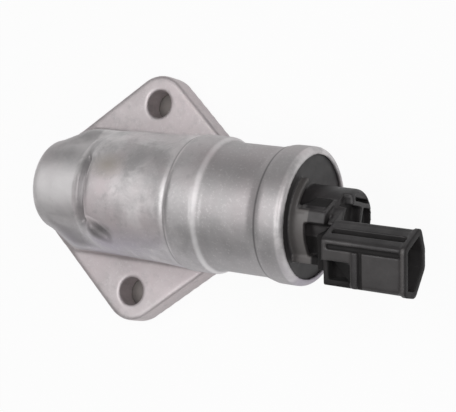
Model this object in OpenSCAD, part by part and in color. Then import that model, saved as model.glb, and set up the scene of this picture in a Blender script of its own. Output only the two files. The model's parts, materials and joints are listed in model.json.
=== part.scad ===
// Idle air control valve of a car engine.
// The valve's axis runs along X, the mounting face is at Z = 0 and the bolt holes lie along Y.
// The origin is the middle of the mounting face, between the two bolt holes.

/* [Mounting flange] */
// Distance between the two bolt holes
bolt_spacing = 54; // [50:0.5:60]
// Diameter of a bolt hole
bolt_hole_d = 8; // [6.5:0.5:9]
// Thickness of the flange
flange_t = 7; // [5:0.5:9]
// Radius of the flange's ends round the bolt holes
flange_end_r = 9; // [7.5:0.5:11]
// Distance from a bolt hole to the flange's tip beyond it
flange_end_reach = 8.3; // [7.5:0.1:11]
// Slant of the flange's sides, measured from the bolt line
flange_slant = 50.3; // [46:0.1:54]
// Radius of the flange's corners under the barrel
flange_corner_r = 14; // [9:1:20]
// Height of the valve's axis above the mounting face
axis_z = 24; // [24:0.5:30]

/* [Housing outside] */
// Outer radius of the closed small end
nose_r = 13.3; // [12.8:0.1:14]
// Position of the closed small end's flat face
nose_x = -19; // [-22:0.1:-17]
// Position of the shoulder where the middle section starts
shoulder_x = 2; // [0:0.1:4]
// Outer radius of the middle section
middle_r = 17.4; // [16.8:0.1:18.4]
// Position of the band between the middle section and the solenoid section
band_x = 29.4; // [28:0.1:31]
// Height of that band above the solenoid section
band_h = 1.2; // [0.8:0.1:2]
// Position of the bevel that ends the band
bevel_x = 37.1; // [35:0.1:39]
// Outer radius of the solenoid section
barrel_r = 17.1; // [16.9:0.1:17.6]
// Position of the thin groove where the barrel starts to widen to the rim
step_x = 54.4; // [53:0.1:56]
// Height of the rolled rim above the solenoid section
rim_h = 1; // [0.9:0.05:1.6]
// Position of the rolled rim's front edge
rim_x = 63.6; // [63:0.1:66]
// Thickness of the lip that is rolled over the cap
lip_t = 1; // [0.8:0.1:1.6]
// Width of that lip, from the rim's outside to the opening
lip_w = 1.9; // [1.7:0.1:2.4]

/* [Housing inside] */
// Radius of the valve chamber
chamber_r = 9.6; // [9:0.1:10]
// Thickness of the closed end wall
end_wall = 4.3; // [3:0.1:4.5]
// Wall of the solenoid section round the coil chamber
coil_wall = 2.2; // [1.8:0.1:2.6]
// Position of the shoulder that the pole piece sits on
coil_bore_x = 22.8; // [21:0.1:25]
// Radius of the outlet port
outlet_r = 5.2; // [4.5:0.1:5.4]
// Position of the outlet port
outlet_x = -8.6; // [-9:0.1:-8]
// Radius of the inlet port
inlet_r = 6.2; // [5:0.1:6.8]
// Position of the inlet port
inlet_x = 10.9; // [10:0.1:12]

/* [Valve] */
// Travel of the valve from closed to fully open
travel = 4; // [2:0.1:4]
// Position of the seat's face that the valve closes on
seat_x = -1.5; // [-2:0.1:-1]
// Radius of the hole through the seat
seat_hole_r = 5.6; // [5:0.1:6]
// Thickness of the seat ring
seat_t = 4.2; // [3:0.1:5]
// Radius of the valve disc
disc_r = 7.6; // [7:0.1:8]
// Thickness of the valve disc
disc_t = 1.6; // [1.2:0.1:2]
// Thickness of the rubber ring on the valve disc
seal_t = 1.2; // [0.8:0.1:1.5]
// Radius of the valve shaft
shaft_r = 2; // [1.8:0.05:2.2]
// Running clearance of the shaft in its bushes
shaft_gap = 0.05; // [0.02:0.01:0.08]
// Wire radius of the return spring
wire_r = 0.4; // [0.3:0.05:0.45]
// Mean radius of the return spring
spring_r = 4.6; // [4.3:0.1:5]
// Number of turns of the return spring
spring_turns = 5; // [4:0.5:6]

/* [Solenoid] */
// Thickness of the pole piece's flange
pole_flange_t = 3; // [2.5:0.1:4]
// Radius of the pole piece's core
pole_core_r = 6; // [5.5:0.1:6.2]
// Length of the pole piece's core in front of its flange
pole_core_len = 9.6; // [8.5:0.1:11]
// Outer radius of a bush
bush_r = 3.2; // [2.9:0.1:3.6]
// Length of the front bush
front_bush_len = 10; // [7:0.5:11]
// Thickness of the brass stop washer
stop_t = 0.5; // [0.3:0.1:0.8]
// Radius of the plunger
plunger_r = 5.65; // [5:0.05:5.7]
// Length of the plunger
plunger_len = 20; // [17:0.5:21]
// Wall of the brass plunger sleeve
sleeve_wall = 0.4; // [0.3:0.05:0.5]
// Clearance between nested pieces that don't move
nest_gap = 0.05; // [0.03:0.01:0.08]
// Wall of the bobbin's tube
bobbin_wall = 1; // [0.8:0.1:1.2]
// Thickness of a bobbin flange
bobbin_flange_t = 1.3; // [1:0.1:1.6]
// Clearance between the bobbin's flanges and the flux sleeve
flange_gap = 0.15; // [0.05:0.05:0.4]
// Length of the bobbin
bobbin_len = 25.5; // [24.5:0.5:25.5]
// Distance from the winding's outside to the bobbin's rim
winding_gap = 1.3; // [0.8:0.1:3]
// Thickness of the tape round the winding
tape_t = 0.3; // [0.2:0.05:0.4]
// Wall of the steel flux sleeve
flux_wall = 1; // [0.8:0.1:1.1]
// Thickness of the steel rear plate
plate_t = 2; // [1.5:0.1:2.2]

/* [End cap] */
// Width of the cap's flange that the rolled lip holds
cap_hold = 0.6; // [0.5:0.05:0.9]
// Thickness of the cap's flange
cap_flange_t = 1.8; // [1.5:0.1:2.2]
// Outer radius of the low wall round the cap's trench
trench_wall_r = 12.6; // [12.1:0.1:13]
// Thickness of that wall
trench_wall_t = 1.5; // [1.2:0.1:1.8]
// Height of the wall above the cap's face, on the plain side
wall_low = 2.1; // [1.5:0.1:3]
// Height of the wall above the cap's face, beside the connector
wall_high = 4.4; // [3.5:0.1:5]
// Depth of the trench below the cap's face
trench_depth = 2.6; // [1:0.1:3]
// Radius of the central boss
boss_r = 8.5; // [8.2:0.05:9.1]
// Position of the boss's end
boss_x = 76.2; // [75:0.1:77]
// Depth of the hollows in the boss's end
boss_hollow = 2.8; // [2:0.1:3]
// Wall round the hollows in the boss's end
boss_wall = 0.9; // [0.8:0.1:1.4]
// Width of the ribs in the boss's end
boss_rib = 1.2; // [0.8:0.1:1.6]
// Thickness of the webs that carry the connector
web_t = 2; // [1.5:0.1:2.4]
// Cord radius of the seal between cap and housing
cap_seal_r = 0.9; // [0.7:0.05:1]

/* [Connector] */
// Side offset of the connector's middle from the valve's axis
plug_y = -9.45; // [-10.2:0.05:-9]
// Height of the connector's middle above the valve's axis
plug_z = 12.95; // [12.7:0.05:13.6]
// Turn of the connector about its own length
plug_turn = 20; // [15:1:25]
// Position of the connector's open end
mouth_x = 98.8; // [97:0.1:102]
// Position of the connector block's rear end
block_x = 76; // [75.7:0.1:78]
// Position of the socket's floor
floor_x = 86.5; // [86:0.1:89]
// Wall of the socket
socket_wall = 1.3; // [1:0.1:1.5]
// Length of the thicker lip round the mouth
mouth_lip_len = 1.4; // [1:0.1:2]
// Height of that lip
mouth_lip_h = 0.35; // [0.2:0.05:0.5]
// Depth of the grooves along the connector's slanted side
groove_depth = 0.9; // [0.5:0.1:1]
// Width of the rebate along the edge of the connector's flat side
rebate_w = 2.1; // [1.6:0.1:2.4]
// Width of the ledge between that rebate and the recess
ledge_w = 2.3; // [1.8:0.1:2.8]
// Depth of that recess
recess_depth = 4; // [2:0.1:4.5]
// Height of the locking rib on the connector's far side
lock_h = 0.8; // [0.5:0.1:1.2]
// Position of the collar round the block
collar_x = 84.4; // [83.5:0.1:86]
// Length of the collar
collar_len = 1.5; // [1.2:0.1:2]
// Width of a terminal blade
blade_w = 2.4; // [2:0.1:2.8]
// Thickness of a terminal blade
blade_t = 0.8; // [0.6:0.1:0.8]
// Distance between the two blades' middles
blade_pitch = 5; // [4.4:0.1:5.4]
// Position of the blades' tips
blade_x = 92.9; // [92:0.1:94]

/* [Hidden] */
$fn = 96;
eps = 0.01;
hull_fn = 32;
bolt_y = bolt_spacing / 2;
flange_tip_y = bolt_y + flange_end_reach;
// The flange's sharp half diagonals, from its rounded ends
flange_half_y = flange_tip_y - flange_end_r + flange_end_r / cos(90 - flange_slant);
flange_half_x = flange_half_y * tan(flange_slant);

// Housing
band_r = barrel_r + band_h;
rim_r = barrel_r + rim_h;
lip_hole_r = rim_r - lip_w;
coil_bore_r = barrel_r - coil_wall;
cap_flange_r = lip_hole_r + cap_hold;
chamber_x = nose_x + end_wall;
lip_x = rim_x - lip_t;
nest_r = coil_bore_r - nest_gap;

// Solenoid
stop_gap = 0.3;
sleeve_in_r = pole_core_r + nest_gap;
sleeve_out_r = sleeve_in_r + sleeve_wall;
core_x = coil_bore_x + pole_flange_t;
pole_face_x = core_x + pole_core_len;
plunger_x = pole_face_x + stop_t + stop_gap + travel;
bobbin_in_r = sleeve_out_r + nest_gap;
bobbin_out_r = bobbin_in_r + bobbin_wall;
bobbin_end_x = core_x + bobbin_len;
bobbin_flange_r = nest_r - flux_wall - flange_gap;
winding_r = bobbin_flange_r - winding_gap;
cap_rear_x = bobbin_end_x + plate_t;
pole_seal_r = (chamber_r + nest_r) / 2;
pole_seal_w = 0.9;
pole_seal_t = 1.4;
rear_bush_len = 4;
plunger_end_x = plunger_x + plunger_len;
rear_bush_x = plunger_end_x + 1;
sleeve_end_x = rear_bush_x + rear_bush_len + sleeve_wall;

// Valve
disc_back_x = seat_x - seal_t - disc_t;
hub_h = 1.2;
clip_t = 0.6;
shaft_tail = 0.8;
spring_seat_h = 0.4;
cup_t = 1.2;
shaft_x = disc_back_x - hub_h - clip_t - shaft_tail;
shaft_end_x = rear_bush_x + rear_bush_len - 0.4;

// End cap
cap_face_x = lip_x;
cap_flange_x = cap_face_x - cap_flange_t;
trench_in_r = trench_wall_r - trench_wall_t;
trench_floor_x = cap_face_x - trench_depth;
cap_bore_r = sleeve_out_r + nest_gap;
seal_groove_x = cap_rear_x + 1.4;
seal_groove_w = 2.4 * cap_seal_r;
seal_mid_r = coil_bore_r - cap_seal_r;

// Flat geometry helpers. Outlines run anticlockwise.
function unit(v) = v / norm(v);
function left_of(v) = [-v[1], v[0]];
function turned(v, a) = [v[0] * cos(a) - v[1] * sin(a), v[0] * sin(a) + v[1] * cos(a)];
function corner_in(p0, p1, p2, d) =
    let (n1 = left_of(unit(p1 - p0)), n2 = left_of(unit(p2 - p1)))
    p1 + (n1 + n2) * d / (1 + n1 * n2);
function inset(points, d) =
    let (n = len(points))
    [for (i = [0 : n - 1]) corner_in(points[(i + n - 1) % n], points[i], points[(i + 1) % n], d)];
function corner_arc(p0, p1, p2, r, steps) =
    let (n1 = left_of(unit(p1 - p0)), n2 = left_of(unit(p2 - p1)),
        middle = corner_in(p0, p1, p2, r), turn = acos(n1 * n2))
    [for (k = [0 : steps]) middle - turned(n1, turn * k / steps) * r];
function rounded(points, radii, steps) =
    let (n = len(points))
    [for (i = [0 : n - 1])
        each corner_arc(points[(i + n - 1) % n], points[i], points[(i + 1) % n], radii[i], steps)];
function arc(x, y, r, a0, a1, steps) =
    [for (k = [0 : steps]) [x + r * cos(a0 + (a1 - a0) * k / steps), y + r * sin(a0 + (a1 - a0) * k / steps)]];

// Places children drawn round Z so that they lie round the valve's axis
module on_axis(x = 0) {
    translate([x, 0, axis_z]) rotate([0, 90, 0]) rotate([0, 0, 90]) children();
}

module rod(x0, x1, r) {
    on_axis(x0) cylinder(h = x1 - x0, r = r);
}

module ring(x0, x1, r_in, r_out) {
    difference() {
        rod(x0, x1, r_out);
        rod(x0 - eps, x1 + eps, r_in);
    }
}

// Turns an outline of [along the axis, radius] points round the valve's axis
module turned_solid(outline) {
    on_axis() rotate_extrude() polygon([for (p = outline) [p[1], p[0]]]);
}

// Plan outline of the flange
function flange_outline(grow = 0) =
    rounded([[flange_half_x + grow, 0], [0, flange_half_y + grow], [-flange_half_x - grow, 0],
        [0, -flange_half_y - grow]], [flange_corner_r, flange_end_r, flange_corner_r, flange_end_r], 12);

module flange() {
    edge = 0.6;
    linear_extrude(flange_t - edge) polygon(flange_outline());
    translate([0, 0, flange_t - edge]) linear_extrude(edge / 2) polygon(flange_outline(-edge * 0.3));
    translate([0, 0, flange_t - edge / 2]) linear_extrude(edge / 2) polygon(flange_outline(-edge));
}

// Outer outline of the round housing, as [along, radius] points
nose_edge = 3;
rim_edge = 1.8;
nose_end_r = nose_r - 0.6;
neck_x = shoulder_x - 3.4;
neck_r = nose_r - 0.1;
barrel_outline = concat(
    [[nose_x, 0]],
    arc(nose_x + nose_edge, nose_end_r - nose_edge, nose_edge, 180, 90, 8),
    [[nose_x + 9, nose_r], [neck_x - 0.4, nose_r + 0.6], [neck_x, nose_r + 0.5], [neck_x + 0.5, neck_r],
        [shoulder_x - 0.5, neck_r], [shoulder_x, neck_r + 0.5]],
    arc(shoulder_x + 1.6, middle_r - 2, 1.6, 180, 90, 8),
    [[shoulder_x + 9, middle_r - 0.1], [band_x - 8, middle_r + 0.1], [band_x - 2.2, middle_r + 0.5], [band_x - 1.6, middle_r + 0.5],
        [band_x - 1.1, middle_r - 0.2], [band_x - 0.2, middle_r - 0.2], [band_x, middle_r], [band_x, band_r - 0.3],
        [band_x + 0.3, band_r], [bevel_x, band_r], [bevel_x + 0.4, band_r - 0.2],
        [bevel_x + 1.6, barrel_r], [step_x - 1, barrel_r], [step_x + 2.6, rim_r]],
    arc(rim_x - rim_edge, rim_r - rim_edge, rim_edge, 90, 0, 8),
    [[rim_x, 0]]);

// Section of the walls that carry the barrel on the flange, as half a section
module saddle(x0, x1, half_w, foot_w) {
    fillet = 1.4;
    side = concat(
        [[0, 0], [foot_w + fillet, 0], [foot_w + fillet, flange_t]],
        arc(foot_w + fillet, flange_t + fillet, fillet, 270, 180, 5),
        [[half_w, axis_z], [0, axis_z]]);
    for (s = [0, 1])
        mirror([0, s, 0]) translate([x0, 0, 0])
            rotate([90, 0, 90]) linear_extrude(x1 - x0) polygon(side);
}

// Web that carries the closed small end on the flange and widens to the middle section
module nose_web() {
    foot_x = nose_x - 8;
    foot_w = nose_r + 0.9;
    wide_x = nose_x + 12.4;
    wide_w = middle_r - 0.9;
    wide_z = axis_z + 3;
    toe_x = nose_x - 2;
    toe_w = middle_r + 0.2;
    hull() {
        on_axis(nose_x + nose_edge) cylinder(h = neck_x - nose_x - nose_edge - 0.4, r = nose_r - 0.6, $fn = hull_fn);
        translate([0, 0, flange_t - 1]) linear_extrude(1)
            polygon(rounded([[foot_x, -foot_w], [toe_x, -toe_w], [shoulder_x, -toe_w],
                [shoulder_x, toe_w], [toe_x, toe_w], [foot_x, foot_w]], [2, 2, 1, 1, 2, 2], 3));
        translate([0, 0, wide_z - 6]) linear_extrude(6)
            polygon(rounded([[wide_x - 3, -wide_w + 1.2], [wide_x, -wide_w], [shoulder_x + 1, -wide_w],
                [shoulder_x + 1, wide_w], [wide_x, wide_w], [wide_x - 3, wide_w - 1.2]], [0.5, 1, 0.1, 0.1, 1, 0.5], 3));
    }
}

// A thin slice across the axis, from one angle to another
module cheek_slice(x, r, a0) {
    steps = 8;
    translate([x, 0, axis_z]) rotate([90, 0, 90]) linear_extrude(0.2)
        polygon(concat([for (k = [0 : steps]) let (a = a0 + (90 - a0) * k / steps) [r * sin(a), r * cos(a)]],
            [[0, 0]]));
}

// Ramp that rises from the small end to the middle section, beside the open part of the neck
module cheek(start_angle) {
    hull() {
        cheek_slice(shoulder_x - 8, nose_r - 0.2, start_angle + 32);
        cheek_slice(shoulder_x - 3, nose_r + 1.6, start_angle + 14);
        cheek_slice(shoulder_x + 0.6, middle_r - 0.7, start_angle);
    }
}

// Pocket beside the lower cheek, in the middle section's rounded edge
module cheek_pocket() {
    pocket_r = 2;
    hull() {
        for (end = [[1.4, -34], [6.4, -48]])
            translate([shoulder_x + end[0], (middle_r + 0.4) * sin(end[1]), axis_z + (middle_r + 0.4) * cos(end[1])])
                sphere(r = pocket_r, $fn = 16);
    }
}

// Thin groove before the rim, which runs out towards both sides
module step_groove() {
    groove_w = 0.6;
    off = 3.3;
    turn = -5;
    difference() {
        rod(step_x, step_x + groove_w, rim_r + 2);
        translate([0, -off * sin(turn), -off * cos(turn)])
            rod(step_x - eps, step_x + groove_w + eps, barrel_r + off - 0.35);
        translate([step_x - eps, -2 * rim_r, -rim_r]) cube([groove_w + 2 * eps, 4 * rim_r, axis_z + rim_r]);
    }
}

module housing() {
    color([0.66, 0.65, 0.65])
    difference() {
        union() {
            flange();
            turned_solid(barrel_outline);
            nose_web();
            cheek(27);
            mirror([0, 1, 0]) cheek(38);
            intersection() {
                saddle(nose_x + 13, flange_half_x, middle_r - 0.5, middle_r - 0.1);
                linear_extrude(axis_z) polygon(flange_outline(-2));
            }
        }
        for (s = [-1, 1])
            translate([0, s * bolt_y, -eps]) cylinder(h = flange_t + 2 * eps, r = bolt_hole_d / 2);
        cheek_pocket();
        step_groove();
        rod(chamber_x, coil_bore_x + eps, chamber_r);
        rod(coil_bore_x, rim_x + eps, coil_bore_r);
        rod(cap_flange_x, lip_x, cap_flange_r + nest_gap);
        rod(lip_x - eps, rim_x + eps, lip_hole_r);
        translate([outlet_x, 0, -eps]) cylinder(h = axis_z + eps, r = outlet_r);
        translate([inlet_x, 0, -eps]) cylinder(h = axis_z + eps, r = inlet_r);
    }
}

module valve_seat() {
    color([0.80, 0.66, 0.36])
    turned_solid([[seat_x, seat_hole_r + 0.3], [seat_x, seat_hole_r + 1.3], [seat_x + 0.7, seat_hole_r + 1.6],
        [seat_x + 0.7, chamber_r], [seat_x + seat_t, chamber_r], [seat_x + seat_t, seat_hole_r + 1],
        [seat_x + seat_t - 1, seat_hole_r], [seat_x + 0.3, seat_hole_r]]);
}

module valve_disc() {
    front_x = seat_x - seal_t;
    seat_ring_x = disc_back_x - spring_seat_h;
    color([0.78, 0.78, 0.8])
    turned_solid([[front_x, shaft_r], [front_x, disc_r], [disc_back_x, disc_r], [disc_back_x, spring_r + 1],
        [seat_ring_x, spring_r + 1], [seat_ring_x, shaft_r + 1.4], [disc_back_x - hub_h, shaft_r + 1.2],
        [disc_back_x - hub_h, shaft_r]]);
}

module valve_seal() {
    color([0.10, 0.10, 0.10])
    ring(seat_x - seal_t, seat_x, shaft_r + 1.4, disc_r - 0.3);
}

module disc_clip() {
    clip_x = disc_back_x - hub_h - clip_t;
    gap_w = 1.8;
    color([0.45, 0.45, 0.47])
    difference() {
        ring(clip_x, clip_x + clip_t, shaft_r, shaft_r + 1.3);
        translate([clip_x - eps, -gap_w / 2, axis_z]) cube([clip_t + 2 * eps, gap_w, 2 * shaft_r]);
    }
}

module valve_shaft() {
    color([0.72, 0.72, 0.74])
    turned_solid([[shaft_x, 0], [shaft_x, shaft_r - 0.4], [shaft_x + 0.4, shaft_r],
        [shaft_end_x - 0.5, shaft_r], [shaft_end_x, shaft_r - 0.5], [shaft_end_x, 0]]);
}

// One ring of the spring's tube, at a turn angle
function wire_ring(a, x) =
    [for (k = [0 : 7]) let (b = 45 * k) [
        x + wire_r * sin(b),
        (spring_r + wire_r * cos(b)) * cos(a),
        axis_z + (spring_r + wire_r * cos(b)) * sin(a)]];

module return_spring() {
    x0 = chamber_x + cup_t + wire_r;
    x1 = disc_back_x - spring_seat_h - wire_r;
    full_turn = 360;
    steps = round(spring_turns * 18);
    rings = [for (i = [0 : steps]) wire_ring(i * full_turn * spring_turns / steps, x0 + (x1 - x0) * i / steps)];
    n = len(rings);
    color([0.60, 0.61, 0.63])
    polyhedron(
        points = [for (r = rings) each r],
        faces = concat(
            [[for (k = [0 : 7]) k]],
            [for (i = [0 : n - 2], k = [0 : 7])
                [i * 8 + k, (i + 1) * 8 + k, (i + 1) * 8 + (k + 1) % 8, i * 8 + (k + 1) % 8]],
            [[for (k = [7 : -1 : 0]) (n - 1) * 8 + k]]));
}

module spring_cup() {
    in_r = spring_r + 0.9;
    out_r = in_r + 0.7;
    brim_x = chamber_x + cup_t + 1.4;
    color([0.62, 0.62, 0.64])
    turned_solid([[chamber_x, shaft_r + 1], [chamber_x, out_r], [brim_x, out_r],
        [brim_x, in_r], [chamber_x + cup_t, in_r], [chamber_x + cup_t, shaft_r + 1]]);
}

module pole_piece() {
    color([0.55, 0.56, 0.58])
    difference() {
        union() {
            ring(coil_bore_x, core_x, bush_r, nest_r);
            ring(core_x - eps, pole_face_x, bush_r, pole_core_r);
        }
        ring(coil_bore_x - eps, coil_bore_x + pole_seal_t, pole_seal_r - pole_seal_w, pole_seal_r + pole_seal_w);
    }
}

module pole_seal() {
    color([0.10, 0.10, 0.10])
    ring(coil_bore_x, coil_bore_x + pole_seal_t, pole_seal_r - pole_seal_w, pole_seal_r + pole_seal_w);
}

module bush(x, length, outer) {
    color([0.72, 0.52, 0.30])
    ring(x, x + length, shaft_r + shaft_gap, outer);
}

module front_bush() {
    bush(coil_bore_x + 1, front_bush_len, bush_r);
}

module stop_washer() {
    color([0.80, 0.66, 0.36])
    ring(pole_face_x, pole_face_x + stop_t, bush_r + 0.4, pole_core_r - 0.2);
}

module plunger() {
    slot_w = 1.8;
    slot_deep = 0.8;
    color([0.50, 0.51, 0.53])
    difference() {
        turned_solid([[plunger_x, shaft_r], [plunger_x, plunger_r - 0.5], [plunger_x + 0.5, plunger_r],
            [plunger_end_x - 0.5, plunger_r], [plunger_end_x, plunger_r - 0.5], [plunger_end_x, shaft_r]]);
        for (s = [-1, 1])
            translate([plunger_x - eps, -slot_w / 2, axis_z + s * plunger_r - slot_deep])
                cube([plunger_len + 2 * eps, slot_w, 2 * slot_deep]);
    }
}

module plunger_sleeve() {
    color([0.80, 0.66, 0.36])
    difference() {
        rod(core_x + 1, sleeve_end_x, sleeve_out_r);
        rod(core_x + 1 - eps, sleeve_end_x - sleeve_wall, sleeve_in_r);
    }
}

module rear_bush() {
    bush(rear_bush_x, rear_bush_len, sleeve_in_r - nest_gap);
}

module bobbin() {
    color([0.15, 0.15, 0.17])
    difference() {
        union() {
            ring(core_x, bobbin_end_x, bobbin_in_r, bobbin_out_r);
            ring(core_x, core_x + bobbin_flange_t, bobbin_in_r, bobbin_flange_r);
            ring(bobbin_end_x - bobbin_flange_t, bobbin_end_x, bobbin_in_r, bobbin_flange_r);
        }
        blade_room();
    }
}

module winding() {
    color([0.72, 0.38, 0.20])
    ring(core_x + bobbin_flange_t, bobbin_end_x - bobbin_flange_t, bobbin_out_r, winding_r);
}

module winding_tape() {
    color([0.85, 0.70, 0.25])
    ring(core_x + bobbin_flange_t, bobbin_end_x - bobbin_flange_t, winding_r, winding_r + tape_t);
}

module flux_sleeve() {
    color([0.52, 0.53, 0.55])
    ring(core_x, bobbin_end_x, nest_r - flux_wall, nest_r);
}

module rear_plate() {
    slot_room = 0.8;
    slot_w = (blade_pitch + blade_w) / 2 + slot_room;
    color([0.55, 0.56, 0.58])
    difference() {
        ring(bobbin_end_x, cap_rear_x, cap_bore_r, nest_r);
        plug_block(-slot_w, slot_w, blade_root_b - blade_t / 2 - slot_room, blade_root_b + blade_t / 2 + slot_room,
            bobbin_end_x - eps, cap_rear_x + eps);
    }
}

// The connector's own frame: the first axis runs down its long side, the second
// towards its flat face and the third along the valve's axis
module on_plug() {
    translate([0, plug_y, axis_z + plug_z]) rotate([0, 90, 0]) rotate([0, 0, 90])
        rotate([0, 0, 180 + plug_turn]) mirror([0, 1, 0]) children();
}

// Outline of the connector in its own frame
plug_corners = [[-8.9, -3.7], [-3.1, -5.8], [1.6, -5.8], [7.6, -0.4], [5.8, 4.9], [-5.8, 4.9]];
plug_rounding = [1.2, 1.2, 1.6, 1.4, 1.6, 1.6];

function plug_outline(d) =
    rounded(inset(plug_corners, d), [for (r = plug_rounding) max(r - d, 0.4)], 5);

// A block in the connector's frame, between two places on each of its axes
module plug_block(a0, a1, b0, b1, x0, x1) {
    on_plug() translate([a0, b0, x0]) cube([a1 - a0, b1 - b0, x1 - x0]);
}

// The terminals start in the bobbin's rear flange, run inside the cap beside the
// boss, step out to the connector's middle and end as blades in the socket
blade_root_b = -8.3;
blade_root_x = bobbin_end_x - bobbin_flange_t;
blade_knee_x = block_x + 2.4;

module terminal(side) {
    a0 = side * blade_pitch / 2 - blade_w / 2;
    a1 = a0 + blade_w;
    color([0.80, 0.66, 0.36]) {
        plug_block(a0, a1, blade_root_b - blade_t / 2, blade_root_b + blade_t / 2, blade_root_x, blade_knee_x);
        plug_block(a0, a1, blade_root_b - blade_t / 2, blade_t / 2, blade_knee_x - blade_t, blade_knee_x);
        plug_block(a0, a1, -blade_t / 2, blade_t / 2, blade_knee_x - blade_t, blade_x);
    }
}

module terminal_1() {
    terminal(-1);
}

module terminal_2() {
    terminal(1);
}

// Room for the two terminals, which the cap and the bobbin are moulded round
module blade_room() {
    terminal(-1);
    terminal(1);
}

module cap_disc() {
    groove_r = coil_bore_r - 2 * cap_seal_r;
    groove_end_x = seal_groove_x + seal_groove_w;
    turned_solid([[cap_rear_x, cap_bore_r], [cap_rear_x, nest_r],
        [seal_groove_x, nest_r], [seal_groove_x, groove_r], [groove_end_x, groove_r], [groove_end_x, nest_r],
        [cap_flange_x, nest_r], [cap_flange_x, cap_flange_r], [cap_face_x, cap_flange_r],
        [cap_face_x, trench_in_r], [trench_floor_x, trench_in_r], [trench_floor_x, cap_bore_r]]);
}

// Angles round the axis are counted from the top, positive towards the bolt hole at +Y
module sector(x0, x1, r, a0, a1) {
    steps = 12;
    on_axis(x0) linear_extrude(x1 - x0) polygon(concat([[0, 0]],
        [for (k = [0 : steps]) let (a = a0 + (a1 - a0) * k / steps) [r * sin(a), r * cos(a)]]));
}

// Where the trench wall ends, beside the connector and on the plain side
wall_end_low = -75;
wall_end_high = 48;

module trench_wall() {
    intersection() {
        ring(trench_floor_x, cap_face_x + wall_low, trench_in_r, trench_wall_r);
        sector(trench_floor_x - eps, boss_x, 2 * trench_wall_r, wall_end_low, wall_end_high);
    }
    intersection() {
        ring(cap_face_x, cap_face_x + wall_high, trench_in_r, trench_wall_r);
        sector(cap_face_x - eps, boss_x, 2 * trench_wall_r, wall_end_low, 0);
    }
}

// The boss has hollows in its end, parted by straight ribs, and a notch in its side
module boss() {
    hollow_x = boss_x - boss_hollow;
    foot_x = trench_floor_x - 1;
    edge = 1.8;
    hollow_r = boss_r - boss_wall;
    cross_y = 4.1;
    side_z = 3.5;
    middle_z = -1.7;
    deep = boss_hollow + 3 * eps;
    difference() {
        turned_solid(concat([[foot_x, 0], [foot_x, boss_r]],
            arc(boss_x - edge, boss_r - edge, edge, 90, 0, 6), [[boss_x, 0]]));
        difference() {
            rod(hollow_x, boss_x + eps, hollow_r);
            translate([hollow_x - eps, cross_y, axis_z - boss_r]) cube([deep, boss_rib, boss_r + side_z + boss_rib]);
            translate([hollow_x - eps, cross_y, axis_z + side_z]) cube([deep, boss_r, boss_rib]);
            translate([hollow_x - eps, -boss_r, axis_z + middle_z]) cube([deep, boss_r + cross_y + eps, boss_rib]);
        }
        translate([hollow_x + 0.2, cross_y - 0.9, axis_z + side_z + boss_rib + 0.2])
            cube([boss_hollow, boss_rib + 2.2, boss_r]);
    }
}

// Outlines across the arm and across the web behind it, with their slanted tops, as
// [across, up] from the axis
arm_reach = sqrt(pow(trench_wall_r, 2) - pow(web_t, 2));
arm_foot_y = -web_t;
arm_end_x = block_x - 3.2;
arm_section = [[arm_foot_y, 0], [arm_foot_y, arm_reach], [1, arm_reach], [4.6, boss_r - 0.8], [4.6, 0]];
web_section = [[arm_foot_y, 0], [arm_foot_y, arm_reach], [arm_foot_y + 0.8, arm_reach], [2.4, boss_r - 0.4], [2.4, 0]];

module arm_piece(x0, x1, section) {
    translate([x0, 0, axis_z]) rotate([90, 0, 90]) linear_extrude(x1 - x0) polygon(section);
}

// Arm that rises from the wall to the boss, and past a slot the web to the connector
module arm() {
    slot_w = 1;
    slot_d = 2.5;
    dish = 0.5;
    start_x = cap_face_x + 1.6;
    difference() {
        arm_piece(trench_floor_x, arm_end_x, arm_section);
        // Shallow dish in the slanted top
        translate([start_x + 1.6, 0, axis_z]) rotate([90, 0, 90]) linear_extrude(arm_end_x - start_x - 2.4)
            polygon([[1.4, arm_reach - dish - 0.9], [4.1, boss_r - 0.4 - dish], [7, boss_r + 2], [3, arm_reach + 2]]);
        // The arm's upper side starts later than its front
        translate([0, 0, axis_z + 4]) linear_extrude(arm_reach)
            polygon([[trench_floor_x - 1, 1.1], [start_x, 1.1], [start_x + 2.8, 4.7], [trench_floor_x - 1, 4.7]]);
    }
    difference() {
        arm_piece(arm_end_x - eps, arm_end_x + slot_w + eps, web_section);
        translate([arm_end_x - 2 * eps, arm_foot_y - 1, axis_z + arm_reach - slot_d])
            cube([slot_w + 4 * eps, 8, slot_d + 1]);
    }
    arm_piece(arm_end_x + slot_w, boss_x - 0.8, web_section);
}

// Grooves along the slanted side, each from a share of that side's length to another, and its depth
groove_shares = [[0.16, 0.25, groove_depth / 2], [0.45, 0.7, groove_depth]];
groove_x = block_x + 1.4;
groove_end_x = mouth_x - mouth_lip_len - 0.4;

module plug_grooves() {
    top = plug_corners[0];
    run = plug_corners[5] - top;
    inward = -left_of(unit(run));
    for (g = groove_shares)
        on_plug() translate([0, 0, groove_x])
            linear_extrude(groove_end_x - groove_x)
                polygon([top + run * g[0] - inward, top + run * g[1] - inward,
                    top + run * (g[1] - 0.03) + inward * g[2],
                    top + run * (g[0] + 0.03) + inward * g[2]]);
}

// Ramp on the far side that locks the cable's plug
module plug_lock() {
    low = plug_corners[1][1];
    lock_w = 2.2;
    ramp_x = mouth_x - 8;
    top_x = mouth_x - 3;
    end_x = mouth_x - 0.8;
    on_plug() translate([-lock_w, low, 0]) rotate([90, 0, 90])
        linear_extrude(lock_w)
            polygon([[0.5, ramp_x], [-lock_h, top_x], [-lock_h, end_x], [0.5, end_x + 0.4]]);
}

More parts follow.
